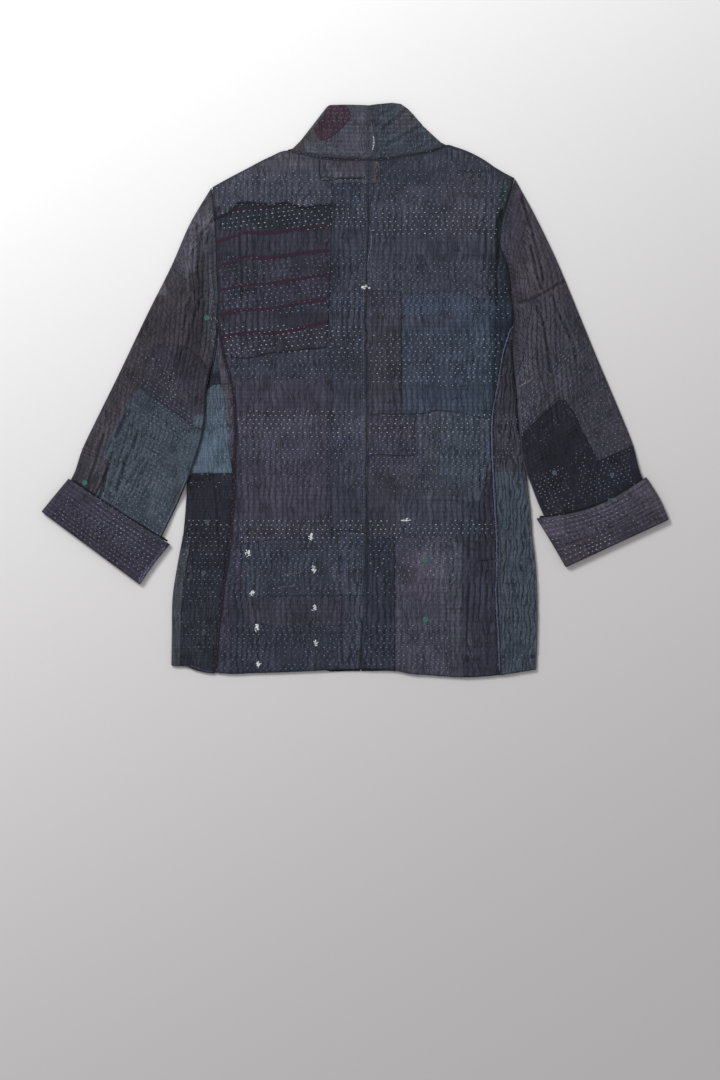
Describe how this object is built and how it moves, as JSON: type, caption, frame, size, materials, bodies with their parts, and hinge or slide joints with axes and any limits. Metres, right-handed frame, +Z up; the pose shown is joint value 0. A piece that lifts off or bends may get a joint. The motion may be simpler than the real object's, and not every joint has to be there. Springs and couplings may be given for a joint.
{
  "type": "patchwork jacket",
  "caption": "Patched jacket of layered cotton quilted with running stitches, laid flat with its back up: stand collar, three-quarter sleeves, turned-back cuffs.",
  "frame": {"origin": "centre of the bounding box in plan, on the surface the jacket lies on", "axes": "+X to the wearer's right, +Y from the hem to the collar, +Z up, out of the wearer's back"},
  "size_m": [0.8776, 0.8036, 0.0111],
  "materials": {
    "cotton_earth": "washed plain-weave cotton, matt, brownish grey",
    "cotton_lilac": "washed plain-weave cotton, matt, grey lilac",
    "cotton_mauve": "washed plain-weave cotton, matt, faded grey mauve",
    "cotton_moss": "washed plain-weave cotton, matt, dark green, frayed",
    "cotton_navy": "washed plain-weave cotton, matt, dark navy",
    "cotton_night": "washed plain-weave cotton, matt, near-black navy",
    "cotton_plum": "washed plain-weave cotton, matt, faded purple grey",
    "cotton_sea": "washed plain-weave cotton, matt, grey teal",
    "cotton_sky": "washed plain-weave cotton, matt, light grey blue",
    "cotton_slate": "washed plain-weave cotton, matt, faded slate blue",
    "cotton_teal": "washed plain-weave cotton, matt, dark grey teal",
    "cotton_wine": "washed plain-weave cotton, matt, maroon"
  },
  "bodies": {
    "root": {"back_left": "cotton_slate", "back_right": "cotton_mauve", "collar_left": "cotton_slate", "collar_right": "cotton_teal", "cuff_left": "cotton_plum", "cuff_right": "cotton_lilac", "front_left": "cotton_slate", "front_right": "cotton_slate", "patch_armhole": "cotton_moss", "patch_brown": "cotton_earth", "patch_collar_slate": "cotton_sea", "patch_column_left": "cotton_teal", "patch_column_right": "cotton_earth", "patch_dark_strip": "cotton_night", "patch_edge_side": "cotton_sea", "patch_field": "cotton_sea", "patch_mauve_side": "cotton_mauve", "patch_navy": "cotton_navy", "patch_neck_left": "cotton_mauve", "patch_neck_right": "cotton_mauve", "patch_night_sleeve": "cotton_night", "patch_night_wrist": "cotton_night", "patch_plum_left": "cotton_plum", "patch_plum_right": "cotton_plum", "patch_ripple_strip": "cotton_slate", "patch_rose": "cotton_plum", "patch_russet_low": "cotton_plum", "patch_sea_side": "cotton_teal", "patch_sea_sleeve": "cotton_sea", "patch_shade_sleeve": "cotton_plum", "patch_sky_side": "cotton_sky", "patch_striped": "cotton_plum", "patch_teal_low": "cotton_teal", "patch_wine": "cotton_wine", "patch_wrist_scrap": "cotton_night", "side_left": "cotton_night", "side_right": "cotton_plum", "sleeve_left": "cotton_earth", "sleeve_right": "cotton_mauve"}
  },
  "joints": []
}
